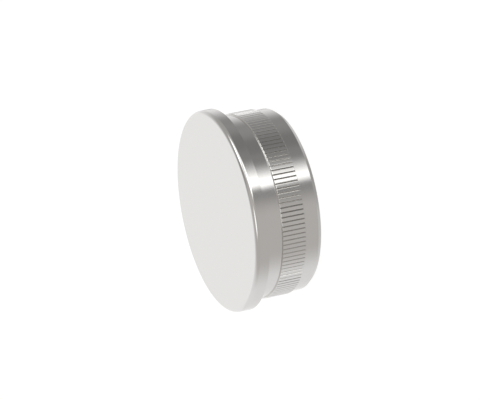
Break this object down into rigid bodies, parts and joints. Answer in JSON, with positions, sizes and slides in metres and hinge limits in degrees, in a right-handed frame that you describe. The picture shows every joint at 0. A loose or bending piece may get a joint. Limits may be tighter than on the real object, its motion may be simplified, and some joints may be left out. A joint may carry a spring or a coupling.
{
  "type": "tube end cap",
  "caption": "Flat round end cap for a handrail tube, turned from steel, with a straight-knurled plug that is driven into the tube's bore.",
  "frame": {"origin": "centre of the plug's rim, on the plane that the cap stands on", "axes": "+Z along the cap's axis, from the rim of the plug up to the face of the head; X and Y are free, because the cap is round"},
  "size_m": [0.0484, 0.0482, 0.0177],
  "materials": {
    "stainless": "satin, turned"
  },
  "bodies": {
    "root": {"end_cap": "stainless"}
  },
  "joints": []
}
